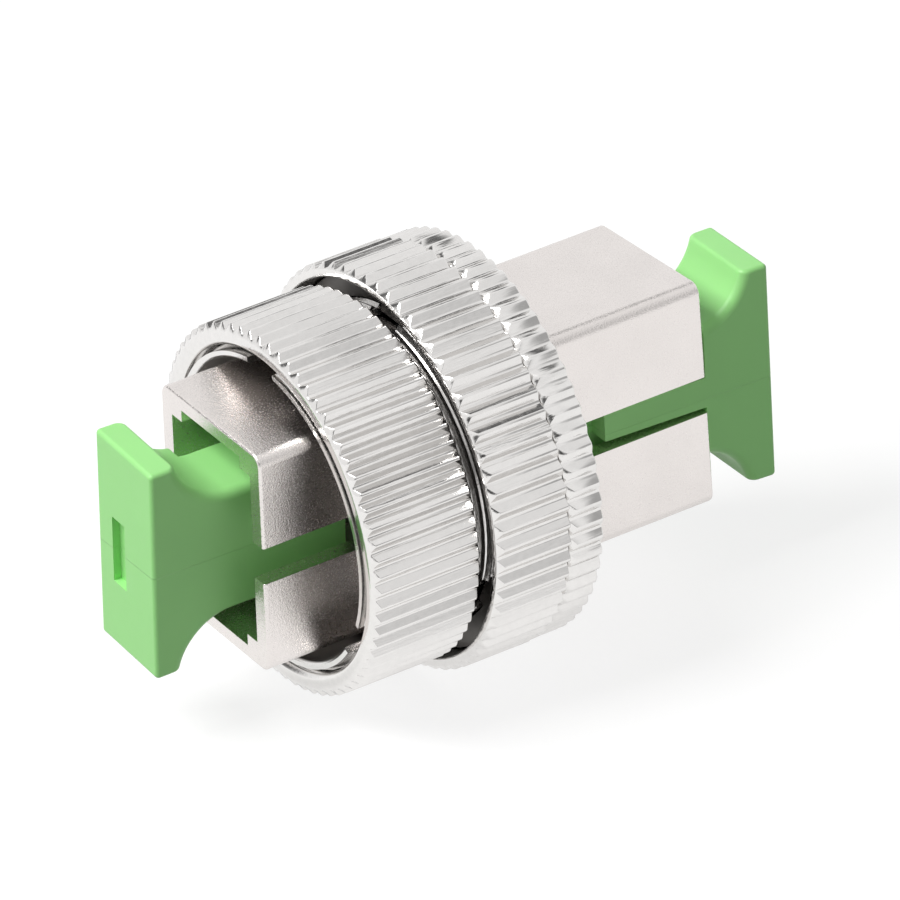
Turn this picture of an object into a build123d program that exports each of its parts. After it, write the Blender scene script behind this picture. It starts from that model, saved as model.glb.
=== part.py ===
from build123d import *
import math
import os

os.makedirs("parts", exist_ok=True)

# Sizes are in mm. The optical axis runs along X, the front mouth looks towards -X
# and both keyways look towards -Y. Stations along X are counted from the front mouth.

# Square port of the common push-pull fibre adapter
port_width = 9.51
port_side = 1.0
port_roof = 0.82
port_edge_round = 0.67
mouth_round = 0.16
shoulder_height = 10.3
shoulder_step = 0.71
shoulder_width = 0.97
keyway_height = 2.17
port_to_port = 28.02
front_mouth = -0.08

# The ports sit turned about the axis, the front one also off centre, within the play of their seats
front_turn = 2.08
front_side_shift = 0.147
front_lift = 0.087
rear_turn = -2.16

# Slotted barrel with its outside thread
barrel_bore = 8.46
barrel_wall = 0.62
barrel_front = 3.24
slot_width = 2.4
slot_angles = (90, 210, 330)
slot_end = 12.4

# Running clearances
thread_play = 0.07
slide_play = 0.19
side_play = 0.05
key_play = 0.48
key_room = 0.2

# Adjusting ring, fine knurl, with the guide keys in its rear pocket
adjust_front = 3.17
adjust_length = 6.58
adjust_wall = 0.95
adjust_tooth = 0.34
adjust_teeth = 70
adjust_phase = 1.5
key_front = 7.70
key_length = 1.40
key_lap = 0.33
key_root = 1.26

# Shares of the pitch from the middle of a tooth to its crest's end and to its foot
crest_share = 0.05
foot_share = 0.41

# Lock ring and clamp ring, coarse knurl
recess_play = 0.18
recess_wall = 0.48
coarse_tooth = 0.32
coarse_teeth = 66
lock_phase = 4.6
clamp_phase = 1.25
lock_front = 10.19
lock_rear = 14.76
lock_recess_depth = 2.06
washer_thick = 0.6
clamp_front = 14.80
clamp_rear = 16.85
clamp_tooth = 0.28
clamp_wall = 0.53
clamp_rim = 0.80

# Body flanges
carriage_front = 7.0
carriage_rear = 11.6
boss_front = 14.2
flange_front = 15.60
plate_thick = 0.8
plate_play = 0.96
screw_offset = 6.3
screw_radius = 0.7
screw_head = 1.2
front_screw_length = 3.0
rear_screw_length = 2.6

# Latch housings and alignment sleeve
latch_tip = 4.2
latch_thick = 0.6
latch_width = 4.4
latch_room = 0.68
hook_depth = 0.58
hook_length = 1.2
housing_base = 1.0
tube_radius = 2.3
tube_bore = 1.81
sleeve_radius = 1.6
sleeve_bore = 1.25
sleeve_length = 11.4
sleeve_cut = 0.45

# Dust cap
cap_width = 5.57
cap_inset = 0.25
cap_flange = 1.6
cap_play = 0.25
cap_neck_start = 4.9
cap_length = 11.8
cap_key_height = 1.76
cap_step = 4.2
cap_rim_round = 0.25
cap_neck_round = 0.55
cap_rib_start = 6.6
cap_rib_length = 2.6
cap_rib_height = 0.45
cap_rib_half = 1.35
cap_rib_ramp = 0.7
cap_slot_depth = 0.45
cap_slot_width = 1.25
cap_slot_height = 4.06
cap_slot_offset = (-0.70, 0.33)
cap_hollow = 5.0
cap_wall = 0.9
cap_key_proud = 0.345
cap_key_run_out = 1.2
front_cap_out = 5.13
front_cap_gap = 0.09
rear_cap_out = 4.40
rear_cap_gap = 0.093

# Return spring, flat wire
spring_wire = 0.52
spring_turns = 2.6

# Radii, from the barrel outwards
thread_radius = barrel_bore + barrel_wall
nut_radius = thread_radius + thread_play
key_reach = nut_radius + key_lap
adjust_root = nut_radius + adjust_wall
lock_recess_radius = adjust_root + adjust_tooth + recess_play
coarse_root = lock_recess_radius + recess_wall
lock_tip = coarse_root + coarse_tooth
clamp_bore = coarse_root - clamp_rim
hub_radius = barrel_bore - 0.28
plate_radius = barrel_bore - plate_play
spring_coil = barrel_bore - spring_wire / 2 - 0.2

# Room inside the port, and heights from its shoulders outwards
cavity_width = port_width - 2 * port_side
cavity_height = shoulder_height + 2 * shoulder_step
port_height = cavity_height + 2 * port_roof
cap_height = port_height - 2 * cap_inset

# Heights inside the port, from the roof of its cavity towards the axis
latch_outer = cavity_height / 2 - latch_room
latch_inner = latch_outer - latch_thick
hook_inner = latch_inner - hook_depth
cap_neck = hook_inner - cap_play
cap_rib = cap_neck + cap_rib_height
cap_key_depth = port_side + cap_key_proud

# Places along the axis, and the height of the axis above the lock ring's lowest tooth
mid_x = port_to_port / 2
coarse_pitch = 360 / coarse_teeth
past_tooth = (270 - lock_phase) % coarse_pitch
tooth_lean = min(past_tooth, coarse_pitch - past_tooth) - crest_share * coarse_pitch
axis_height = lock_tip * math.cos(math.radians(max(tooth_lean, 0)))
shift = (front_cap_out - port_to_port - rear_cap_out) / 2


def block(x0, x1, y0, y1, z0, z1):
    centre = Pos((x0 + x1) / 2, (y0 + y1) / 2, (z0 + z1) / 2)
    return centre * Box(x1 - x0, y1 - y0, z1 - z0)


def turned(points):
    face = make_face(Polyline(*points, close=True))
    return revolve(face, Axis.X, 360)


def ring(x0, x1, inner, outer):
    return turned([(x0, inner), (x1, inner), (x1, outer), (x0, outer)])


def rod(x0, x1, radius, y=0.0, z=0.0):
    return Pos((x0 + x1) / 2, y, z) * Rot(Y=90) * Cylinder(radius, x1 - x0)


def knurl_blank(x0, x1, root, tooth, teeth, phase):
    # Straight teeth: a narrow crest, two straight flanks and a narrow root land
    pitch = 360 / teeth
    tip = root + tooth
    steps = ((root, -foot_share), (tip, -crest_share), (tip, crest_share), (root, foot_share))
    corners = []
    for index in range(teeth):
        for radius, share in steps:
            angle = math.radians((index + share) * pitch + phase)
            corners.append((radius * math.cos(angle), radius * math.sin(angle)))
    outline = Plane.YZ.offset(x0) * make_face(Polyline(*corners, close=True))
    return extrude(outline, x1 - x0)


def square_tube(x0, x1):
    outline = Plane.YZ.offset(x0) * RectangleRounded(port_width, port_height, port_edge_round)
    return extrude(outline, x1 - x0)


def port_cavity(x0, x1):
    # Tall middle with a lower shoulder in each of the four corners
    half = cavity_width / 2
    tall = half - shoulder_width
    wide = block(x0, x1, -half, half, -shoulder_height / 2, shoulder_height / 2)
    return wide + block(x0, x1, -tall, tall, -cavity_height / 2, cavity_height / 2)


def keyway(x0, x1):
    deep = port_width / 2 + 0.5
    return block(x0, x1, -deep, -cavity_width / 2 + 0.4, -keyway_height / 2, keyway_height / 2)


def screw_hole(x0, x1, side):
    return rod(x0, x1, screw_radius + 0.02, side * screw_offset)


def countersunk(face_x, direction, side, length, play=0.0):
    # Direction is the way the tip points along X
    tip = face_x + direction * length
    neck = face_x + direction * (screw_head - screw_radius)
    profile = [(face_x, 0), (face_x, screw_head + play), (neck, screw_radius + play)]
    profile += [(tip, screw_radius + play), (tip, 0)]
    return Pos(0, side * screw_offset, 0) * turned(profile)


def screw(face_x, direction, side, length):
    slot = block(face_x - 0.25, face_x + 0.25, side * screw_offset - 2, side * screw_offset + 2, -0.14, 0.14)
    return countersunk(face_x, direction, side, length) - slot


# Front port shell: square tube on a round carriage flange that slides in the barrel
def front_port_shell():
    tube = square_tube(front_mouth, carriage_rear)
    rim = tube.faces().sort_by(Axis.X)[0].edges()
    tube = fillet(rim, mouth_round)
    flange_radius = barrel_bore - slide_play
    flange = turned([(carriage_front, 0), (carriage_front, flange_radius - 0.25),
                     (carriage_front + 0.25, flange_radius), (carriage_rear, flange_radius),
                     (carriage_rear, 0)])
    shell = tube + flange
    shell -= port_cavity(-1, carriage_rear + 1)
    shell -= keyway(-1, carriage_front + 1.2)
    for angle in slot_angles:
        shell -= key_block(angle, 0.03)
    for side in (-1, 1):
        shell -= screw_hole(carriage_rear - front_screw_length + 0.4, carriage_rear + 1, side)
    return shell


# Guide keys: they join the carriage to the adjusting ring through the barrel slots
def key_block(angle, play):
    half = slot_width / 2 - key_play + play
    inner = barrel_bore - key_root - play
    outer = key_reach if play == 0 else thread_radius + 1
    body = block(key_front - play, key_front + key_length + play, inner, outer, -half, half)
    return Rot(X=angle) * body


def guide_key(angle):
    key = key_block(angle, 0)
    return key & rod(key_front - 1, key_front + key_length + 1, key_reach)


# Slotted barrel: outside thread surface, three slots open to the front, rear clamping flange
def slotted_barrel():
    flange_radius = clamp_bore - 0.07
    barrel = turned([(barrel_front, barrel_bore + 0.15), (barrel_front + 0.15, barrel_bore),
                     (flange_front - 0.02, barrel_bore), (flange_front - 0.02, flange_radius),
                     (clamp_front + 0.04, flange_radius), (clamp_front + 0.04, thread_radius),
                     (barrel_front + 0.2, thread_radius), (barrel_front, thread_radius - 0.2)])
    for angle in slot_angles:
        half = slot_width / 2
        middle = barrel_bore + barrel_wall / 2
        cut = block(barrel_front - 1, slot_end, middle - 1.25, middle + 1.25, -half, half)
        cut += Pos(slot_end, middle, 0) * Rot(X=90) * Cylinder(half, 2.5)
        barrel -= Rot(X=angle) * cut
    return barrel


# Adjusting ring: knurled nut, its rear counterbore holds the guide keys
def adjusting_ring():
    rear = adjust_front + adjust_length
    tip = adjust_root + adjust_tooth
    pocket = key_front - 0.04
    blank = knurl_blank(adjust_front, rear, adjust_root, adjust_tooth, adjust_teeth, adjust_phase)
    envelope = turned([(adjust_front, nut_radius + 0.25), (adjust_front + 0.25, nut_radius),
                       (pocket, nut_radius), (pocket, key_reach + key_room), (rear, key_reach + key_room),
                       (rear, tip - 0.22), (rear - 0.22, tip), (adjust_front + 0.2, tip),
                       (adjust_front, adjust_root - 0.06)])
    return blank & envelope


def adjusting_retainer():
    start = key_front + key_length + 0.04
    return ring(start, adjust_front + adjust_length - 0.06, nut_radius, key_reach + key_room - 0.015)


# Lock ring: knurled nut behind the adjusting ring, front recess for the tab washer
def lock_ring():
    seat = lock_front + lock_recess_depth
    blank = knurl_blank(lock_front, lock_rear, coarse_root, coarse_tooth, coarse_teeth, lock_phase)
    envelope = turned([(lock_front, lock_recess_radius + 0.1), (lock_front + 0.1, lock_recess_radius),
                       (seat, lock_recess_radius), (seat, nut_radius + 0.2), (seat + 0.2, nut_radius),
                       (lock_rear, nut_radius), (lock_rear, lock_tip), (lock_front + 0.34, lock_tip),
                       (lock_front, coarse_root - 0.02)])
    return blank & envelope


def lock_washer():
    seat = lock_front + lock_recess_depth
    front = seat - washer_thick - side_play
    washer = ring(front, seat - side_play, nut_radius, lock_recess_radius - 0.12)
    half = slot_width / 2 - side_play
    tab_inner = barrel_bore + 0.14
    for angle in slot_angles:
        washer += Rot(X=angle) * block(front, seat - side_play, tab_inner, nut_radius + 0.4, -half, half)
    return washer


# Clamp ring: knurled union ring that holds the barrel to the rear port
def clamp_ring():
    tip = coarse_root - 0.02 + clamp_tooth
    wall = clamp_rear - clamp_wall
    blank = knurl_blank(clamp_front, clamp_rear, coarse_root - 0.02, clamp_tooth, coarse_teeth, clamp_phase)
    envelope = turned([(clamp_front, clamp_bore), (wall, clamp_bore), (wall, hub_radius + 0.08),
                       (clamp_rear, hub_radius + 0.08), (clamp_rear, tip - 0.12), (clamp_rear - 0.12, tip),
                       (clamp_front + 0.36, tip), (clamp_front, coarse_root - 0.04)])
    return blank & envelope


# Rear port shell: square tube, hub through the clamp ring, flange and pilot boss
def rear_port_shell():
    tube = square_tube(boss_front, port_to_port)
    rim = tube.faces().sort_by(Axis.X)[-1].edges()
    tube = fillet(rim, mouth_round)
    flange_rear = clamp_rear - clamp_wall - 0.02
    pilot = barrel_bore - 0.04
    flange_radius = clamp_bore - 0.07
    body = turned([(boss_front, 0), (boss_front, pilot - 0.2), (boss_front + 0.2, pilot), (flange_front, pilot),
                   (flange_front, flange_radius), (flange_rear, flange_radius), (flange_rear, hub_radius),
                   (clamp_rear + 0.15, hub_radius), (clamp_rear + 0.4, hub_radius - 0.25),
                   (clamp_rear + 0.4, 0)])
    shell = tube + body
    shell -= port_cavity(boss_front - 1, port_to_port + 1)
    shell -= keyway(clamp_rear + 1.6, port_to_port + 1)
    for side in (-1, 1):
        shell -= screw_hole(boss_front - 1, boss_front + rear_screw_length - plate_thick + 0.2, side)
    return shell


# Latch housing: a base behind the port with two sprung arms that end in hooks
def latch_housing(base_x, direction, tip_x):
    def span(a, b, y0, y1, z0, z1):
        return block(min(a, b), max(a, b), y0, y1, z0, z1)
    half = cavity_width / 2 - side_play
    tall = shoulder_height / 2 - side_play
    base_end = base_x + direction * housing_base
    part = span(base_x, base_end, -half, half, -tall, tall)
    for side in (-1, 1):
        depth = hook_length * direction
        profile = [(base_x, latch_inner), (tip_x - depth, latch_inner), (tip_x - depth, hook_inner),
                   (tip_x - depth * 0.55, hook_inner), (tip_x, latch_inner + 0.2), (tip_x, latch_outer),
                   (base_x, latch_outer)]
        arm = extrude(Plane.XZ * make_face(Polyline(*[(x, side * z) for x, z in profile], close=True)),
                      latch_width / 2, both=True)
        part += arm
    part -= rod(min(base_x, base_end) - 1, max(base_x, base_end) + 1, tube_radius + 0.08)
    return part


# Sleeve holder: round plate with a tube that carries one end of the alignment sleeve
def sleeve_holder(plate_x, direction, tube_end):
    back = plate_x - direction * plate_thick
    low, high = sorted((plate_x, back))
    plate = ring(low, high, tube_bore, plate_radius)
    low, high = sorted((plate_x, tube_end))
    lip = tube_end - direction * 0.3
    tube = ring(low, high, tube_bore, tube_radius)
    low, high = sorted((lip, tube_end))
    part = plate + tube + ring(low, high, sleeve_bore + 0.06, tube_radius)
    for side in (-1, 1):
        part -= countersunk(back, direction, side, plate_thick * 2, 0.03)
    return part


def alignment_sleeve():
    sleeve = ring(mid_x - sleeve_length / 2, mid_x + sleeve_length / 2, sleeve_bore, sleeve_radius)
    cut = block(mid_x - sleeve_length, mid_x + sleeve_length, -sleeve_cut / 2, sleeve_cut / 2, 0.5, 3)
    return sleeve - cut


# Return spring between the carriage and the rear boss, it keeps the keys on the ring
def return_spring():
    start = carriage_rear + spring_wire / 2 + 0.04
    length = boss_front - carriage_rear - spring_wire - 0.08
    path = Helix(length / spring_turns, length, spring_coil, center=(start, 0, 0), direction=(1, 0, 0))
    section = Plane(path @ 0, z_dir=path % 0) * Rectangle(spring_wire, spring_wire)
    return sweep(section, path, is_frenet=True)


# Dust cap in its own frame: outer end at x=0, plug towards +X, key on the -Y side
def dust_cap():
    half = cap_height / 2
    edges = [Line((0, -half), (0, half)), Line((0, half), (cap_flange, half - 0.03)),
             TangentArc((cap_neck_start, cap_neck), (cap_flange, half - 0.03), tangent=(-1, 0)),
             Line((cap_neck_start, cap_neck), (cap_length, cap_neck)),
             Line((cap_length, cap_neck), (cap_length, -cap_neck)),
             Line((cap_length, -cap_neck), (cap_neck_start, -cap_neck)),
             TangentArc((cap_neck_start, -cap_neck), (cap_flange, 0.03 - half), tangent=(-1, 0)),
             Line((cap_flange, 0.03 - half), (0, -half))]
    side_view = Plane.XZ * make_face(Wire(edges))
    cap = extrude(side_view, cap_width / 2, both=True)
    long_edges = cap.edges().filter_by(Axis.X).filter_by(lambda e: abs(e.center().Z) < cap_neck + 0.1)
    cap = fillet(long_edges, cap_neck_round)
    rim = cap.edges().filter_by(lambda e: e.center().X < cap_flange * 0.6)
    cap = fillet(rim, cap_rim_round)
    # The plug is stepped in behind the key so that it passes the port wall
    low = -cap_width / 2
    key_half = cap_key_height / 2
    key_end = cap_length - cap_key_run_out
    plug_low = low + cap_key_depth
    step = block(cap_step, cap_length + 1, low - 1, plug_low, -half, half)
    step -= block(cap_step - 1, key_end, low - 2, plug_low + 1, -key_half, key_half)
    cap -= step
    # Friction ribs above and below, inside the mouth
    rib_end = cap_rib_start + cap_rib_length
    for side in (-1, 1):
        rib = [(cap_rib_start, cap_neck - 0.3), (cap_rib_start + cap_rib_ramp, cap_rib),
               (rib_end - cap_rib_ramp, cap_rib), (rib_end, cap_neck - 0.3)]
        outline = Plane.XZ * make_face(Polyline(*[(x, side * z) for x, z in rib], close=True))
        pad = extrude(outline, cap_rib_half, both=True)
        tops = pad.edges().filter_by(Axis.X).filter_by(lambda e: abs(e.center().Z) > cap_rib - 0.1)
        pad = chamfer(tops, cap_rib_height - 0.1)
        cap += pad
    # Shallow slot in the outer end, and the hollow plug end
    slot_y, slot_z = cap_slot_offset
    across, tall = cap_slot_width / 2, cap_slot_height / 2
    cap -= block(-1, cap_slot_depth, slot_y - across, slot_y + across, slot_z - tall, slot_z + tall)
    inner = cap_neck - cap_wall
    cap -= block(cap_length - cap_hollow, cap_length + 1, plug_low + cap_wall, -low - cap_wall, -inner, inner)
    return cap


front_plate = carriage_rear + 0.02
rear_plate = boss_front - 0.02
front_tube_end = mid_x - sleeve_length / 2 - 0.7
rear_tube_end = mid_x + sleeve_length / 2 + 0.35
front_seat = Pos(0, front_side_shift, front_lift) * Rot(X=front_turn)
rear_seat = Rot(X=rear_turn)

# Each cap sits a little askew in its port, the front one with its key away from the keyway
front_cap_y = cavity_width / 2 - cap_width / 2 - front_cap_gap
rear_cap_y = cap_width / 2 - port_width / 2 + rear_cap_gap
front_cap_place = Pos(-front_cap_out, front_cap_y, 0) * Rot(X=3.86) * Rot(Z=-1.04) * Rot(X=180)
rear_cap_place = Pos(port_to_port + rear_cap_out, rear_cap_y, 0) * Rot(X=-1.66) * Rot(Z=-2.01) * Rot(Y=180.98)
pieces = {
    "rear_port_shell": rear_seat * rear_port_shell(),
    "slotted_barrel": slotted_barrel(),
    "clamp_ring": clamp_ring(),
    "rear_latch_housing": rear_seat * latch_housing(boss_front + 0.05, 1, port_to_port - latch_tip),
    "rear_sleeve_holder": rear_seat * sleeve_holder(rear_plate, 1, rear_tube_end),
    "alignment_sleeve": alignment_sleeve(),
    "rear_screw_near": rear_seat * screw(rear_plate - plate_thick, 1, -1, rear_screw_length),
    "rear_screw_far": rear_seat * screw(rear_plate - plate_thick, 1, 1, rear_screw_length),
    "front_port_shell": front_seat * front_port_shell(),
    "front_latch_housing": front_seat * latch_housing(carriage_rear - 0.05, -1, latch_tip),
    "front_sleeve_holder": front_seat * sleeve_holder(front_plate, -1, front_tube_end),
    "front_screw_near": front_seat * screw(front_plate + plate_thick, -1, -1, front_screw_length),
    "front_screw_far": front_seat * screw(front_plate + plate_thick, -1, 1, front_screw_length),
    "guide_key_top": front_seat * guide_key(slot_angles[0]),
    "guide_key_near": front_seat * guide_key(slot_angles[1]),
    "guide_key_far": front_seat * guide_key(slot_angles[2]),
    "adjusting_ring": adjusting_ring(),
    "adjusting_retainer": adjusting_retainer(),
    "lock_ring": lock_ring(),
    "lock_washer": lock_washer(),
    "return_spring": return_spring(),
    "front_dust_cap": front_cap_place * dust_cap(),
    "rear_dust_cap": rear_cap_place * dust_cap(),
}

for name, shape in pieces.items():
    placed = Pos(shift, 0, axis_height) * shape
    placed.label = name
    export_step(placed, "parts/" + name + ".step")
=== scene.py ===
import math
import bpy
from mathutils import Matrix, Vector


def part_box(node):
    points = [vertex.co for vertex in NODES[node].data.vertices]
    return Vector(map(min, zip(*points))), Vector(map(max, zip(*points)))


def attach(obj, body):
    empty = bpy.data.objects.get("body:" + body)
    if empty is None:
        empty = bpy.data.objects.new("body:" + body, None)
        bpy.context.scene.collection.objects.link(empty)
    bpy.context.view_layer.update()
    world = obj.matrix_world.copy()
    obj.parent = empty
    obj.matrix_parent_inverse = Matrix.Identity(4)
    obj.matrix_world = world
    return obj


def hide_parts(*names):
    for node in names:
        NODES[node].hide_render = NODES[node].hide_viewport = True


bl_info = {
    "name": "Fibre Attenuator Dressing",
    "version": (1, 0, 0),
    "blender": (4, 5, 0),
    "location": "View3D > Sidebar > Attenuator",
    "description": "Finishes and fine pieces of an in-line variable fibre attenuator",
    "category": "Object",
}

import bmesh
import bpy
from bpy.props import FloatProperty, FloatVectorProperty, IntProperty, PointerProperty
from mathutils import Matrix, Vector

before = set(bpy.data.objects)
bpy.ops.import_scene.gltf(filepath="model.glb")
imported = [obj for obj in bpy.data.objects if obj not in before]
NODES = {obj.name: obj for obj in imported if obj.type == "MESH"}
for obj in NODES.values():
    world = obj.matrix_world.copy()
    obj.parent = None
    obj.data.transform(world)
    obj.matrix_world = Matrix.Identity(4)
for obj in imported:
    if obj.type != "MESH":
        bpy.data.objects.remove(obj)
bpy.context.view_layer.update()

MM = 0.001
RING_LOW, RING_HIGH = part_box("lock_ring")
AXIS_Z = (RING_LOW.z + RING_HIGH.z) / 2
THREAD_RADIUS = 9.08 * MM
BARREL_BORE = 8.46 * MM


def length(name, value, text):
    return FloatProperty(name=name, description=text, default=value, unit="LENGTH", subtype="DISTANCE",
                         precision=6)


def amount(name, value, text):
    return FloatProperty(name=name, description=text, default=value, min=0.0, max=1.0, subtype="FACTOR")


def colour(name, value, text):
    return FloatVectorProperty(name=name, description=text, default=value, size=3, min=0.0, max=1.0,
                               subtype="COLOR")


class CastingFinish(bpy.types.PropertyGroup):
    tint: colour("Casting", (0.80, 0.757, 0.735), "Colour of the satin plated casting")
    roughness: amount("Roughness", 0.22, "Roughness of the satin plating")
    grain: length("Grain size", 0.0001, "Size of the blasted grain")
    relief: amount("Relief", 0.21, "Depth of the grain as a share of its size")
    edge: length("Edge round", 0.00007, "Radius of the casting's small edges")


class RingSizes(bpy.types.PropertyGroup):
    tint: colour("Plating", (0.8, 0.785, 0.77), "Colour of the bright plating")
    roughness: amount("Roughness", 0.14, "Roughness of the bright plating")
    fine_teeth: IntProperty(name="Fine teeth", description="Teeth on the adjusting ring", default=70)
    coarse_teeth: IntProperty(name="Coarse teeth", description="Teeth on the lock and clamp rings",
                              default=66)
    edge: length("Edge round", 0.00003, "Radius of the rings' small edges")


class ThreadSizes(bpy.types.PropertyGroup):
    pitch: length("Pitch", 0.0005, "Pitch of the barrel's thread")
    depth: length("Depth", 0.00022, "Depth of the thread's groove")
    run: length("Run", 0.009, "Length of the thread from the barrel's front end")
    slots: IntProperty(name="Slots", description="Slots that part the thread", default=3)
    gap: FloatProperty(name="Gap", description="Angle that a slot takes out of each turn", default=0.285,
                       subtype="ANGLE")


class CapFinish(bpy.types.PropertyGroup):
    tint: colour("Cap", (0.38, 0.85, 0.29), "Colour of the moulded caps")
    roughness: amount("Roughness", 0.42, "Roughness of the moulded caps")
    edge: length("Edge round", 0.00012, "Radius of the caps' small edges")


class StageLook(bpy.types.PropertyGroup):
    floor: colour("Floor", (0.3, 0.3, 0.3), "Colour of the floor")
    fill: FloatProperty(name="Fill", description="Strength of the light from all round", default=0.3,
                        min=0.0)
    key: FloatProperty(name="Key", description="Power of the large lamp", default=2.05,
                       unit="POWER", min=0.0)


# Meshes

# Points closer than this are one, and faces that turn by less than this are one flat face
SAME_POINT = 1e-7
FLAT_DEGREES = 0.3
# The round on a small edge, and the turn that makes an edge sharp enough to have one
EDGE_SEGMENTS = 2
EDGE_DEGREES = 28


def new_piece(name, mesh):
    piece = bpy.data.objects.new(name, mesh)
    bpy.context.scene.collection.objects.link(piece)
    return piece


def mesh_from(bm, name):
    mesh = bpy.data.meshes.new(name)
    bm.to_mesh(mesh)
    bm.free()
    return mesh


def plain_mesh(piece):
    """The evaluated mesh of a piece takes the place of its mesh and modifiers."""
    graph = bpy.context.evaluated_depsgraph_get()
    baked = bpy.data.meshes.new_from_object(piece.evaluated_get(graph))
    piece.modifiers.clear()
    piece.data = baked


def merged_copy(node, name):
    """A copy of a CAD node with its loose triangles joined and its flat faces made whole."""
    bm = bmesh.new()
    bm.from_mesh(NODES[node].data)
    bmesh.ops.remove_doubles(bm, verts=bm.verts, dist=SAME_POINT)
    bmesh.ops.dissolve_limit(bm, angle_limit=math.radians(FLAT_DEGREES), verts=bm.verts, edges=bm.edges)
    return new_piece(name, mesh_from(bm, name))


def smooth(piece, degrees):
    piece.data.shade_smooth()
    piece.data.set_sharp_from_angle(angle=math.radians(degrees))


def soften(piece, width):
    """Small rounds on the piece's edges."""
    bevel = piece.modifiers.new("round", "BEVEL")
    bevel.width = width
    bevel.segments = EDGE_SEGMENTS
    bevel.limit_method = "ANGLE"
    bevel.angle_limit = math.radians(EDGE_DEGREES)
    bevel.use_clamp_overlap = True
    bevel.harden_normals = False
    plain_mesh(piece)
    smooth(piece, 40)
    weigh_normals(piece)


def finish_piece(piece, material, body, slot, *nodes):
    piece.data.materials.clear()
    piece.data.materials.append(material)
    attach(piece, body)
    if nodes:
        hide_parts(*nodes)


def weigh_normals(piece):
    """Flat faces stay flat, and their narrow rounded edges take the whole turn."""
    weigh = piece.modifiers.new("weigh", "WEIGHTED_NORMAL")
    weigh.keep_sharp = True
    weigh.weight = 100
    plain_mesh(piece)


# Knurled rings
# Of each ring: phase is its first tooth's turn in degrees, as read in the photograph, root and tip are the
# teeth's radii, bore is the section inside, and within the unplated radius the ring is dark steel whose
# darkness is partly painted shade (0 for none)

# Half a tooth as shares of the pitch and of the tooth's height, from the crest to the root land
TOOTH_HALF = ((0.0, 1.0), (0.05, 0.985), (0.1, 0.91), (0.39, 0.08), (0.43, 0.0))
NUT_RADIUS = 9.15 * MM


def adjusting_ring(sizes):
    front, rear = span("adjusting_ring")
    tip = 10.44 * MM
    pocket = front + 4.49 * MM
    wide = 9.68 * MM
    thread = thread_grooves(front + 0.3 * MM, NUT_RADIUS, 0.5 * MM, 0.2 * MM, 4)
    bore = [(front, NUT_RADIUS + 0.25 * MM), (front + 0.25 * MM, NUT_RADIUS)] + thread
    bore += [(pocket, NUT_RADIUS), (pocket, wide), (rear, wide)]
    return {"node": "adjusting_ring", "body": "adjuster", "teeth": sizes.fine_teeth, "phase": 1.5,
            "front": front, "rear": rear, "root": tip - 0.34 * MM, "tip": tip, "bore": bore, "bare_and_painted_shade": 0.0,
            "front_rim": tip - 0.56 * MM, "front_run": 0.28 * MM, "rear_rim": tip - 0.22 * MM}


def thread_grooves(start, radius, pitch, depth, turns):
    """Section of a few turns of thread cut into a bore."""
    points = []
    for turn in range(turns):
        here = start + turn * pitch
        points += [(here, radius), (here + pitch * 0.42, radius + depth),
                   (here + pitch * 0.55, radius + depth)]
    return points


def lock_ring(sizes):
    front, rear = span("lock_ring")
    tip = 11.42 * MM
    recess = 10.62 * MM
    seat = front + 2.06 * MM
    bore = [(front, recess + 0.1 * MM), (front + 0.1 * MM, recess), (seat, recess),
            (seat, NUT_RADIUS + 0.2 * MM), (seat + 0.2 * MM, NUT_RADIUS), (rear, NUT_RADIUS)]
    # The recess is dark unplated steel, its darkness partly painted shade
    return {"node": "lock_ring", "body": "lock", "teeth": sizes.coarse_teeth, "phase": 4.6,
            "front": front, "rear": rear, "root": tip - 0.32 * MM, "tip": tip, "bore": bore, "bare_and_painted_shade": recess,
            "front_rim": tip - 0.34 * MM, "front_run": 0.34 * MM, "rear_rim": tip - 0.09 * MM}


def clamp_ring(sizes):
    front, rear = span("clamp_ring")
    tip = 11.36 * MM
    wide = 10.30 * MM
    hub = 8.26 * MM
    wall = rear - 0.53 * MM
    bore = [(front, wide), (wall, wide), (wall, hub), (rear, hub)]
    return {"node": "clamp_ring", "body": "rear_body", "teeth": sizes.coarse_teeth, "phase": 1.25,
            "front": front, "rear": rear, "root": tip - 0.28 * MM, "tip": tip, "bore": bore, "bare_and_painted_shade": 0.0,
            "front_rim": tip - 0.30 * MM, "front_run": 0.36 * MM, "rear_rim": tip - 0.12 * MM}


def span(node):
    low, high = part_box(node)
    return low.x, high.x


def tooth_profile(ring, radius, edge):
    """The closed section of the ring where the tooth has this radius, from the bore over the knurl."""
    slope = (ring["tip"] - ring["front_rim"]) / ring["front_run"]
    front_edge = ring["front"] + (radius - ring["front_rim"]) / slope
    rim = min(ring["rear_rim"], radius - edge)
    corners = [(ring["rear"], rim), (ring["rear"] - (radius - rim), radius), (front_edge, radius),
               (ring["front"], ring["front_rim"])]
    return rounded(ring["bore"] + corners, edge)


def rounded(corners, edge):
    """Each corner of a closed outline gives way to two points a little before and after it."""
    points = []
    for index, corner in enumerate(corners):
        here = Vector(corner)
        for other in (corners[index - 1], corners[(index + 1) % len(corners)]):
            away = Vector(other) - here
            step = min(edge, away.length * 0.4)
            points.append(here + away.normalized() * step)
    return points


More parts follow.
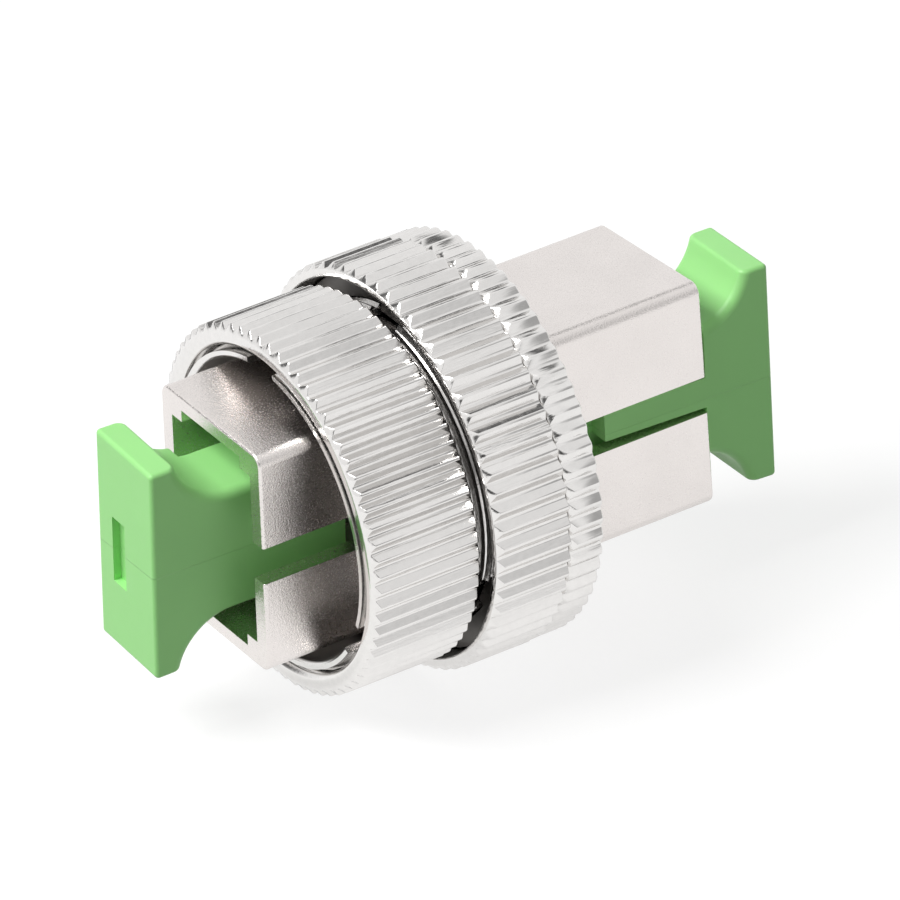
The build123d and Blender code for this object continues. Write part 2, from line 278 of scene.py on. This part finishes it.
def tooth_sector(ring, edge):
    """One tooth and the ring behind it, as a grid of profiles side by side."""
    pitch = 2 * math.pi / ring["teeth"]
    height = ring["tip"] - ring["root"]
    half = [(share, ring["root"] + height * rise) for share, rise in TOOTH_HALF] + [(0.5, ring["root"])]
    columns = [(-share, radius) for share, radius in reversed(half)] + half[1:]
    bm = bmesh.new()
    rows = []
    for share, radius in columns:
        angle = share * pitch
        turn = Vector((0, math.cos(angle), math.sin(angle)))
        points = [Vector((x, 0, 0)) + turn * out for x, out in tooth_profile(ring, radius, edge)]
        rows.append([bm.verts.new(point) for point in points])
    for left, right in zip(rows, rows[1:]):
        for index in range(len(left)):
            bm.faces.new((left[index - 1], left[index], right[index], right[index - 1]))
    return mesh_from(bm, ring["node"] + "_tooth")


# What repeats

# Points of neighbouring copies that are closer than this become one
JOIN_DISTANCE = 0.000002


def round_and_along():
    """Node group that sets a part again and again, each copy turned and moved along the axis."""
    tree = bpy.data.node_groups.new("Round and along", "GeometryNodeTree")
    for name, kind in (("Part", "Geometry"), ("Count", "Int"), ("Turn", "Float"), ("First turn", "Float"),
                       ("Step", "Float"), ("First step", "Float"), ("Axis height", "Float"),
                       ("Material", "Material")):
        tree.interface.new_socket(name, in_out="INPUT", socket_type="NodeSocket" + kind)
    tree.interface.new_socket("Whole", in_out="OUTPUT", socket_type="NodeSocketGeometry")
    given = tree.nodes.new("NodeGroupInput").outputs
    start = tree.nodes.new("ShaderNodeCombineXYZ")
    tree.links.new(given["First step"], start.inputs["X"])
    step = tree.nodes.new("ShaderNodeCombineXYZ")
    tree.links.new(given["Step"], step.inputs["X"])
    points = tree.nodes.new("GeometryNodeMeshLine")
    tree.links.new(given["Count"], points.inputs["Count"])
    tree.links.new(start.outputs[0], points.inputs["Start Location"])
    tree.links.new(step.outputs[0], points.inputs["Offset"])
    turns = graph_math(tree, "MULTIPLY", tree.nodes.new("GeometryNodeInputIndex").outputs[0], given["Turn"])
    euler = tree.nodes.new("ShaderNodeCombineXYZ")
    tree.links.new(graph_math(tree, "ADD", turns, given["First turn"]), euler.inputs["X"])
    rotation = tree.nodes.new("FunctionNodeEulerToRotation")
    tree.links.new(euler.outputs[0], rotation.inputs[0])
    copies = tree.nodes.new("GeometryNodeInstanceOnPoints")
    tree.links.new(points.outputs["Mesh"], copies.inputs["Points"])
    tree.links.new(given["Part"], copies.inputs["Instance"])
    tree.links.new(rotation.outputs[0], copies.inputs["Rotation"])
    whole = tree.nodes.new("GeometryNodeRealizeInstances")
    tree.links.new(copies.outputs["Instances"], whole.inputs[0])
    joined = tree.nodes.new("GeometryNodeMergeByDistance")
    joined.inputs["Distance"].default_value = JOIN_DISTANCE
    tree.links.new(whole.outputs[0], joined.inputs["Geometry"])
    lift = tree.nodes.new("ShaderNodeCombineXYZ")
    tree.links.new(given["Axis height"], lift.inputs["Z"])
    moved = tree.nodes.new("GeometryNodeTransform")
    tree.links.new(joined.outputs[0], moved.inputs["Geometry"])
    tree.links.new(lift.outputs[0], moved.inputs["Translation"])
    coated = tree.nodes.new("GeometryNodeSetMaterial")
    tree.links.new(moved.outputs[0], coated.inputs["Geometry"])
    tree.links.new(given["Material"], coated.inputs["Material"])
    tree.links.new(coated.outputs[0], tree.nodes.new("NodeGroupOutput").inputs["Whole"])
    return tree


def graph_math(tree, operation, *values):
    node = tree.nodes.new("ShaderNodeMath")
    node.operation = operation
    for value, socket in zip(values, node.inputs):
        if isinstance(value, (int, float)):
            socket.default_value = value
        else:
            tree.links.new(value, socket)
    return node.outputs[0]


def set_inputs(modifier, **values):
    """Sets the named inputs of a nodes modifier through their identifiers."""
    for item in modifier.node_group.interface.items_tree:
        key = item.name.replace(" ", "_").lower()
        if item.in_out == "INPUT" and key in values:
            modifier[item.identifier] = values[key]


def repeat_part(piece, tree, **values):
    """The piece's mesh is set all along the axis, and the faces then look outwards."""
    modifier = piece.modifiers.new("repeat", "NODES")
    modifier.node_group = tree
    set_inputs(modifier, axis_height=AXIS_Z, **values)
    plain_mesh(piece)
    bm = bmesh.new()
    bm.from_mesh(piece.data)
    bmesh.ops.recalc_face_normals(bm, faces=bm.faces)
    bm.to_mesh(piece.data)
    bm.free()


# Threaded barrel

# Half the width of a ridge at its crest, its foot and its sunk base, in shares of the pitch
RIDGE_CREST = 0.08
RIDGE_FOOT = 0.42
RIDGE_BASE = 0.36
BASE_DEPTH = 0.05 * MM
RIDGE_SEGMENTS = 14
# Turns of the thread's run that stay without a ridge, at both ends together
BLANK_TURNS = 1.6
# The step where the thread's sunk floor ends
FLOOR_STEP = 0.02 * MM
# Half the width of a slot in the barrel, and how near to its wall a point must lie to be on it
SLOT_HALF = 1.2 * MM
WALL_REACH = 0.01 * MM


def thread_ridge(thread):
    """One ridge of the thread between two slots, wound forward as it goes round."""
    half = math.pi / thread.slots - thread.gap / 2
    foot = THREAD_RADIUS - thread.depth
    base = foot - BASE_DEPTH
    section = [(-RIDGE_FOOT, foot), (-RIDGE_CREST, THREAD_RADIUS), (RIDGE_CREST, THREAD_RADIUS),
               (RIDGE_FOOT, foot), (RIDGE_BASE, base), (-RIDGE_BASE, base)]
    bm = bmesh.new()
    rows = []
    for index in range(RIDGE_SEGMENTS + 1):
        angle = half * (2 * index / RIDGE_SEGMENTS - 1)
        wound = thread.pitch * angle / (2 * math.pi)
        turn = Vector((0, math.cos(angle), math.sin(angle)))
        points = [Vector((wound + share * thread.pitch, 0, 0)) + turn * out for share, out in section]
        rows.append([bm.verts.new(point) for point in points])
    for left, right in zip(rows, rows[1:]):
        for index in range(len(left)):
            bm.faces.new((left[index - 1], left[index], right[index], right[index - 1]))
    bm.faces.new(rows[0])
    bm.faces.new(reversed(rows[-1]))
    return mesh_from(bm, "thread_ridge")


def sink_thread_floor(piece, thread):
    """The barrel's outside comes in to the thread's foot, and the slots keep their flat walls."""
    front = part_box("slotted_barrel")[0].x
    bm = bmesh.new()
    bm.from_mesh(piece.data)
    for place in (front + thread.run, front + thread.run + FLOOR_STEP):
        everything = bm.verts[:] + bm.edges[:] + bm.faces[:]
        bmesh.ops.bisect_plane(bm, geom=everything, plane_co=(place, 0, 0), plane_no=(1, 0, 0))
    foot = THREAD_RADIUS - thread.depth
    slot_turn = 2 * math.pi / thread.slots
    for vert in bm.verts:
        high = vert.co.z - AXIS_Z
        out = math.hypot(vert.co.y, high)
        if vert.co.x < front + thread.run + FLOOR_STEP / 2 and out > foot:
            from_top = math.atan2(-vert.co.y, high)
            slot = round(from_top / slot_turn) * slot_turn
            across = out * math.sin(from_top - slot)
            if abs(across) < SLOT_HALF + WALL_REACH:
                from_top = slot + math.asin(across / foot)
            vert.co.y = -foot * math.sin(from_top)
            vert.co.z = AXIS_Z + foot * math.cos(from_top)
    bm.to_mesh(piece.data)
    bm.free()


# Materials

# Unplated steel of the barrel's bore, the lock ring's recess, the retainer and the washer, darker partly as
# painted shade
BARE_STEEL_AND_PAINTED_SHADE = (0.2, 0.19, 0.18)
BARE_ROUGHNESS = 0.42
# Sizes of the fine marks on the rings, the barrel, the caps and the inner pieces
RING_MARKS = 0.00012
BARREL_MARKS = 0.0001
MOULD_GRAIN = 0.00016
MOULD_CLOUD = 0.004
MOULD_RELIEF = 0.0000025
INNER_GRAIN = 0.0002
INNER_RELIEF = 0.000003
# The caps' mould seam is a step between these two depths below the axis
SEAM_LOW = 0.26 * MM
SEAM_HIGH = 0.2 * MM
SEAM_STEP = 0.02 * MM


class Nodes:
    """A short way to build a material's node tree."""

    def __init__(self, name):
        self.material = bpy.data.materials.new(name)
        self.material.use_nodes = True
        self.tree = self.material.node_tree
        self.shader = self.tree.nodes["Principled BSDF"]
        self.place = self.add("ShaderNodeTexCoord").outputs["Object"]

    def add(self, kind, **values):
        node = self.tree.nodes.new(kind)
        for key, value in values.items():
            setattr(node, key, value)
        return node

    def link(self, start, end):
        self.tree.links.new(start, end)

    def noise(self, size, detail=2.0, place=None, rough=0.5):
        node = self.add("ShaderNodeTexNoise")
        node.inputs["Scale"].default_value = 1.0 / size
        node.inputs["Detail"].default_value = detail
        node.inputs["Roughness"].default_value = rough
        self.link(place or self.place, node.inputs["Vector"])
        return node.outputs["Fac"]

    def stretched(self, scale):
        node = self.add("ShaderNodeMapping")
        node.inputs["Scale"].default_value = scale
        self.link(self.place, node.inputs["Vector"])
        return node.outputs["Vector"]

    def ramp(self, factor, low, high, start=0.3, end=0.7):
        """Runs from low to high as the factor goes from start to end."""
        node = self.add("ShaderNodeMapRange")
        node.inputs["From Min"].default_value = start
        node.inputs["From Max"].default_value = end
        node.inputs["To Min"].default_value = low
        node.inputs["To Max"].default_value = high
        self.link(factor, node.inputs["Value"])
        return node.outputs["Result"]

    def tints(self, factor, first, second):
        """Blends from the first colour to the second; each is three numbers or another node's output."""
        node = self.add("ShaderNodeMix", data_type="RGBA")
        for value, socket in ((first, node.inputs["A"]), (second, node.inputs["B"])):
            if isinstance(value, bpy.types.NodeSocket):
                self.link(value, socket)
            else:
                socket.default_value = (*value, 1)
        self.link(factor, node.inputs["Factor"])
        return node.outputs["Result"]

    def from_axis(self):
        """Distance from the axis that the ring turns on."""
        shifted = self.add("ShaderNodeMapping")
        shifted.inputs["Location"].default_value = (0, 0, -AXIS_Z)
        shifted.inputs["Scale"].default_value = (0, 1, 1)
        self.link(self.place, shifted.inputs["Vector"])
        distance = self.add("ShaderNodeVectorMath", operation="LENGTH")
        self.link(shifted.outputs["Vector"], distance.inputs[0])
        return distance.outputs["Value"]

    def product(self, first, second):
        return graph_math(self.tree, "MULTIPLY", first, second)

    def greater(self, first, second):
        return graph_math(self.tree, "MAXIMUM", first, second)

    def along(self, way):
        """How far the place lies in this direction."""
        dot = self.add("ShaderNodeVectorMath", operation="DOT_PRODUCT")
        dot.inputs[1].default_value = way
        self.link(self.place, dot.inputs[0])
        return dot.outputs["Value"]

    def bump(self, height, depth, after=None):
        node = self.add("ShaderNodeBump")
        node.inputs["Strength"].default_value = 1.0
        node.inputs["Distance"].default_value = depth
        self.link(height, node.inputs["Height"])
        if after is not None:
            self.link(after, node.inputs["Normal"])
        return node.outputs["Normal"]

    def set(self, **values):
        for key, value in values.items():
            self.shader.inputs[key.replace("_", " ")].default_value = value


def shade(tint, factor):
    return tuple(min(1.0, part * factor) for part in tint)


def satin_casting(name, finish):
    """Fine blasted casting under satin nickel."""
    made = Nodes(name)
    grain = made.noise(finish.grain, 3.0, rough=0.6)
    blotch = made.noise(finish.grain * 25, 2.0)
    made.link(made.tints(made.ramp(blotch, 0.0, 1.0), shade(finish.tint, 0.96), finish.tint),
              made.shader.inputs["Base Color"])
    made.link(made.ramp(grain, finish.roughness - 0.05, finish.roughness + 0.08),
              made.shader.inputs["Roughness"])
    made.link(made.bump(grain, finish.grain * finish.relief), made.shader.inputs["Normal"])
    made.set(Metallic=1.0)
    return made.material


def bright_plating(name, tint, roughness, grain, bore):
    """Bright nickel over a turned or knurled surface; inside the bore's radius it is dark unplated steel,
    partly painted shade.
    """
    made = Nodes(name)
    marks = made.noise(grain, 2.0, made.stretched((0.12, 1.0, 1.0)))
    specks = made.noise(grain * 3, 3.0)
    colour = made.tints(made.ramp(specks, 0.0, 1.0), shade(tint, 0.95), tint)
    rough = made.ramp(specks, roughness - 0.03, roughness + 0.05)
    if bore:
        # Painted shade, in part: within the bore's radius the colour turns to the dark unplated steel
        bare_and_painted_shade = made.ramp(made.from_axis(), 1.0, 0.0, bore + 0.02 * MM, bore + 0.08 * MM)
        colour = made.tints(bare_and_painted_shade, colour, BARE_STEEL_AND_PAINTED_SHADE)
        rough = made.greater(rough, made.product(bare_and_painted_shade, BARE_ROUGHNESS))
    made.link(colour, made.shader.inputs["Base Color"])
    made.link(rough, made.shader.inputs["Roughness"])
    made.link(made.bump(marks, grain * 0.06), made.shader.inputs["Normal"])
    made.set(Metallic=1.0)
    return made.material


def moulded_green(name, finish):
    """Soft matt plastic: slightly see-through, with the mould's faint grain and its seam."""
    made = Nodes(name)
    grain = made.noise(MOULD_GRAIN, 3.0)
    cloud = made.noise(MOULD_CLOUD, 2.0)
    made.link(made.tints(made.ramp(cloud, 0.0, 1.0), shade(finish.tint, 0.97), finish.tint),
              made.shader.inputs["Base Color"])
    made.link(made.ramp(grain, finish.roughness - 0.03, finish.roughness + 0.05),
              made.shader.inputs["Roughness"])
    seam = made.ramp(made.along((0, 0, 1)), 0.0, 1.0, AXIS_Z - SEAM_LOW, AXIS_Z - SEAM_HIGH)
    step = made.bump(seam, SEAM_STEP)
    made.link(made.bump(grain, MOULD_RELIEF, step), made.shader.inputs["Normal"])
    made.set(IOR=1.49, Subsurface_Weight=0.06, Subsurface_Scale=0.0005)
    made.shader.inputs["Subsurface Radius"].default_value = (0.5, 1.0, 0.3)
    return made.material


def plain_finish(name, tint, metallic, roughness):
    """An even finish for an inner piece."""
    made = Nodes(name)
    spots = made.noise(INNER_GRAIN, 2.0)
    made.link(made.tints(made.ramp(spots, 0.0, 1.0), shade(tint, 0.94), tint),
              made.shader.inputs["Base Color"])
    made.link(made.ramp(spots, roughness - 0.04, roughness + 0.04), made.shader.inputs["Roughness"])
    made.link(made.bump(spots, INNER_RELIEF), made.shader.inputs["Normal"])
    made.set(Metallic=metallic)
    return made.material


# Operators

class DressPorts(bpy.types.Operator):
    """Dress the two cast port shells"""
    bl_idname = "attenuator.port_shells"
    bl_label = "Port shells"

    def execute(self, context):
        finish = context.scene.attenuator_casting
        material = satin_casting("satin_casting", finish)
        for node, body in (("front_port_shell", "carriage"), ("rear_port_shell", "rear_body")):
            piece = merged_copy(node, node + "_cast")
            soften(piece, finish.edge)
            finish_piece(piece, material, body, "plated_casting", node)
        return {"FINISHED"}


class DressCaps(bpy.types.Operator):
    """Dress the two moulded dust caps"""
    bl_idname = "attenuator.dust_caps"
    bl_label = "Dust caps"

    def execute(self, context):
        finish = context.scene.attenuator_cap
        material = moulded_green("moulded_green", finish)
        for node, body in (("front_dust_cap", "front_cap"), ("rear_dust_cap", "rear_cap")):
            piece = merged_copy(node, node + "_moulded")
            soften(piece, finish.edge)
            finish_piece(piece, material, body, "green_plastic", node)
        return {"FINISHED"}


class DressRings(bpy.types.Operator):
    """Make the three knurled rings, tooth by tooth"""
    bl_idname = "attenuator.knurled_rings"
    bl_label = "Knurled rings"

    def execute(self, context):
        sizes = context.scene.attenuator_rings
        tree = round_and_along()
        for ring in (adjusting_ring(sizes), lock_ring(sizes), clamp_ring(sizes)):
            material = bright_plating(ring["node"] + "_plating", sizes.tint, sizes.roughness, RING_MARKS,
                                      ring["bare_and_painted_shade"])
            piece = new_piece(ring["node"] + "_knurl", tooth_sector(ring, sizes.edge))
            repeat_part(piece, tree, count=ring["teeth"], turn=2 * math.pi / ring["teeth"],
                        first_turn=math.radians(ring["phase"]), step=0.0, first_step=0.0, material=material)
            smooth(piece, 50)
            weigh_normals(piece)
            finish_piece(piece, material, ring["body"], "plated_ring", ring["node"])
        return {"FINISHED"}


class DressBarrel(bpy.types.Operator):
    """Cut the thread of the slotted barrel"""
    bl_idname = "attenuator.threaded_barrel"
    bl_label = "Threaded barrel"

    def execute(self, context):
        rings = context.scene.attenuator_rings
        thread = context.scene.attenuator_thread
        # Inside the bore's radius the barrel is dark unplated steel, its darkness partly painted shade
        material = bright_plating("barrel_plating", rings.tint, rings.roughness + 0.04, BARREL_MARKS,
                                  BARREL_BORE)
        barrel = merged_copy("slotted_barrel", "slotted_barrel_turned")
        sink_thread_floor(barrel, thread)
        smooth(barrel, 30)
        finish_piece(barrel, material, "rear_body", "plated_barrel", "slotted_barrel")
        ridges = new_piece("barrel_thread", thread_ridge(thread))
        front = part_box("slotted_barrel")[0].x + thread.pitch
        count = int((thread.run / thread.pitch - BLANK_TURNS) * thread.slots)
        slot_turn = 2 * math.pi / thread.slots
        repeat_part(ridges, round_and_along(), count=count, turn=slot_turn,
                    first_turn=math.pi / 2 + slot_turn / 2, step=thread.pitch / thread.slots,
                    first_step=front, material=material)
        smooth(ridges, 40)
        finish_piece(ridges, material, "rear_body", "plated_barrel")
        return {"FINISHED"}


class DressInside(bpy.types.Operator):
    """Give the inner pieces their finishes"""
    bl_idname = "attenuator.inner_pieces"
    bl_label = "Inner pieces"

    def execute(self, context):
        finishes = {
            "latch": plain_finish("natural_moulding", (0.84, 0.83, 0.78), 0.0, 0.5),
            "holder": plain_finish("holder_plating", (0.72, 0.71, 0.68), 1.0, 0.3),
            "alignment": plain_finish("white_ceramic", (0.9, 0.89, 0.86), 0.0, 0.15),
            # The retainer and washer are dark unplated steel, their darkness partly painted shade in the gap
            # between the rings
            "retainer": plain_finish("bare_steel_retainer", BARE_STEEL_AND_PAINTED_SHADE, 1.0, 0.4),
            "washer": plain_finish("bare_steel_washer", BARE_STEEL_AND_PAINTED_SHADE, 1.0, 0.4),
            "steel": plain_finish("turned_steel", (0.62, 0.62, 0.63), 1.0, 0.28),
        }
        for node, piece in NODES.items():
            kind = next((word for word in finishes if word in node), "steel")
            if node not in ("adjusting_ring", "lock_ring", "clamp_ring"):
                piece.data.materials.clear()
                piece.data.materials.append(finishes[kind])
        return {"FINISHED"}


# Stage

FLOOR_RADIUS = 1.5
LAMP_PLACE = Vector((-0.28, 0.07, 0.39))
LAMP_SIZE = 0.24
SENSOR_WIDTH = 36.0

# Dark cards around the object: direction, inner and outer angle in degrees, strength in the middle
DARK_CARDS = (
    ((-0.49, 0.73, 0.44), 8, 24, 0.12),
    ((0.456, -0.45, 0.75), 10, 26, 0.9),
    ((0.456, 0.38, 0.81), 5, 13, 0.12),
    ((0.75, -0.60, 0.25), 12, 30, 0.45),
    ((-0.2, -0.95, 0.20), 10, 28, 0.35),
    ((-0.78, -0.60, 0.12), 10, 26, 0.08),
)

# The floor's own glow, which with its lit colour comes to about white
FLOOR_GLOW = 0.78

# The camera that was fitted to the photograph, in millimetres from the centre of the lock ring's front
FRAME_PIXELS = 900
FOCAL_PIXELS = 11020.3
CAMERA_PLACE = Vector((-262.440, -427.376, 297.128)) * MM + Vector((RING_LOW.x, 0, AXIS_Z))
VIEW_AHEAD = Vector((0.45607, 0.73028, -0.50861)).normalized()
VIEW_RIGHT = Vector((0.83117, -0.55378, -0.04983))
VIEW_RIGHT = (VIEW_RIGHT - VIEW_RIGHT.dot(VIEW_AHEAD) * VIEW_AHEAD).normalized()


def seen_directly(tree):
    """1 for camera, glossy and transmission rays, which see the white backdrop."""
    path = tree.nodes.new("ShaderNodeLightPath").outputs
    direct = graph_math(tree, "MAXIMUM", path["Is Camera Ray"], path["Is Glossy Ray"])
    return graph_math(tree, "MAXIMUM", direct, path["Is Transmission Ray"])


def add_lamp(name, place, size, power):
    data = bpy.data.lights.new(name, "AREA")
    data.size = size
    data.energy = power
    lamp = bpy.data.objects.new(name, data)
    bpy.context.scene.collection.objects.link(lamp)
    aim = Vector((0, 0, AXIS_Z)) - place
    lamp.matrix_world = Matrix.Translation(place) @ aim.to_track_quat("-Z", "Y").to_matrix().to_4x4()


class BuildStage(bpy.types.Operator):
    """Set the floor, the light and the camera"""
    bl_idname = "attenuator.stage"
    bl_label = "Stage"

    def execute(self, context):
        look = context.scene.attenuator_stage
        self.add_floor(look)
        self.add_light(context.scene, look)
        self.add_camera(context.scene)
        context.scene.view_settings.view_transform = "Standard"
        return {"FINISHED"}

    def add_floor(self, look):
        bm = bmesh.new()
        bmesh.ops.create_circle(bm, cap_ends=True, segments=96, radius=FLOOR_RADIUS)
        floor = new_piece("floor", mesh_from(bm, "floor"))
        material = bpy.data.materials.new("white_floor")
        material.use_nodes = True
        tree = material.node_tree
        tree.nodes.clear()
        output = tree.nodes.new("ShaderNodeOutputMaterial")
        diffuse = tree.nodes.new("ShaderNodeBsdfDiffuse")
        diffuse.inputs["Color"].default_value = (*look.floor, 1)
        glow = tree.nodes.new("ShaderNodeEmission")
        glow.inputs["Color"].default_value = (1, 1, 1, 1)
        strength = graph_math(tree, "MULTIPLY", seen_directly(tree), FLOOR_GLOW)
        tree.links.new(strength, glow.inputs["Strength"])
        both = tree.nodes.new("ShaderNodeAddShader")
        tree.links.new(diffuse.outputs[0], both.inputs[0])
        tree.links.new(glow.outputs[0], both.inputs[1])
        tree.links.new(both.outputs[0], output.inputs["Surface"])
        floor.data.materials.append(material)

    def add_light(self, scene, look):
        world = bpy.data.worlds.new("soft_studio")
        scene.world = world
        world.use_nodes = True
        tree = world.node_tree
        tree.nodes.clear()
        output = tree.nodes.new("ShaderNodeOutputWorld")
        fill = tree.nodes.new("ShaderNodeBackground")
        fill.inputs["Color"].default_value = (1, 1, 1, 1)
        fill.inputs["Strength"].default_value = look.fill
        backdrop = tree.nodes.new("ShaderNodeBackground")
        backdrop.inputs["Color"].default_value = (1, 1, 1, 1)
        tree.links.new(self.dark_cards(tree), backdrop.inputs["Strength"])
        choice = tree.nodes.new("ShaderNodeMixShader")
        tree.links.new(seen_directly(tree), choice.inputs[0])
        tree.links.new(fill.outputs[0], choice.inputs[1])
        tree.links.new(backdrop.outputs[0], choice.inputs[2])
        tree.links.new(choice.outputs[0], output.inputs["Surface"])
        add_lamp("key_lamp", LAMP_PLACE, LAMP_SIZE, look.key)

    def dark_cards(self, tree):
        """White all round, with a few soft dark cards that only reflections show."""
        way = tree.nodes.new("ShaderNodeTexCoord").outputs["Generated"]
        strength = 1.0
        for place, narrow, wide, dark in DARK_CARDS:
            dot = tree.nodes.new("ShaderNodeVectorMath")
            dot.operation = "DOT_PRODUCT"
            dot.inputs[1].default_value = Vector(place).normalized()
            tree.links.new(way, dot.inputs[0])
            card = tree.nodes.new("ShaderNodeMapRange")
            card.interpolation_type = "SMOOTHSTEP"
            card.inputs["From Min"].default_value = math.cos(math.radians(wide))
            card.inputs["From Max"].default_value = math.cos(math.radians(narrow))
            card.inputs["To Min"].default_value = 1.0
            card.inputs["To Max"].default_value = dark
            tree.links.new(dot.outputs["Value"], card.inputs["Value"])
            strength = graph_math(tree, "MULTIPLY", strength, card.outputs["Result"])
        camera = tree.nodes.new("ShaderNodeLightPath").outputs["Is Camera Ray"]
        return graph_math(tree, "MAXIMUM", strength, camera)

    def add_camera(self, scene):
        data = bpy.data.cameras.new("camera")
        camera = bpy.data.objects.new("camera", data)
        scene.collection.objects.link(camera)
        data.sensor_width = SENSOR_WIDTH
        data.lens = SENSOR_WIDTH * FOCAL_PIXELS / FRAME_PIXELS
        data.clip_start = 0.05
        data.clip_end = 10.0
        up = VIEW_RIGHT.cross(VIEW_AHEAD)
        turn = Matrix((VIEW_RIGHT, up, -VIEW_AHEAD)).transposed()
        camera.matrix_world = Matrix.Translation(CAMERA_PLACE) @ turn.to_4x4()
        scene.camera = camera


class AttenuatorPanel(bpy.types.Panel):
    bl_label = "Attenuator"
    bl_idname = "VIEW3D_PT_attenuator"
    bl_space_type = "VIEW_3D"
    bl_region_type = "UI"
    bl_category = "Attenuator"

    def draw(self, context):
        for operator in OPERATORS:
            self.layout.operator(operator.bl_idname)
        for name, group in GROUPS.items():
            box = self.layout.box()
            box.label(text=name.replace("attenuator_", "").title())
            for field in group.__annotations__:
                box.prop(getattr(context.scene, name), field)


GROUPS = {
    "attenuator_casting": CastingFinish,
    "attenuator_rings": RingSizes,
    "attenuator_thread": ThreadSizes,
    "attenuator_cap": CapFinish,
    "attenuator_stage": StageLook,
}
OPERATORS = (DressInside, DressPorts, DressRings, DressBarrel, DressCaps, BuildStage)


def register():
    for group in GROUPS.values():
        bpy.utils.register_class(group)
    for name, group in GROUPS.items():
        setattr(bpy.types.Scene, name, PointerProperty(type=group))
    for operator in OPERATORS:
        bpy.utils.register_class(operator)
    bpy.utils.register_class(AttenuatorPanel)


def unregister():
    bpy.utils.unregister_class(AttenuatorPanel)
    for operator in reversed(OPERATORS):
        bpy.utils.unregister_class(operator)
    for name in GROUPS:
        delattr(bpy.types.Scene, name)
    for group in reversed(GROUPS.values()):
        bpy.utils.unregister_class(group)


def main():
    register()
    bpy.ops.attenuator.inner_pieces()
    bpy.ops.attenuator.port_shells()
    bpy.ops.attenuator.knurled_rings()
    bpy.ops.attenuator.threaded_barrel()
    bpy.ops.attenuator.dust_caps()
    bpy.ops.attenuator.stage()


if __name__ == "__main__":
    main()
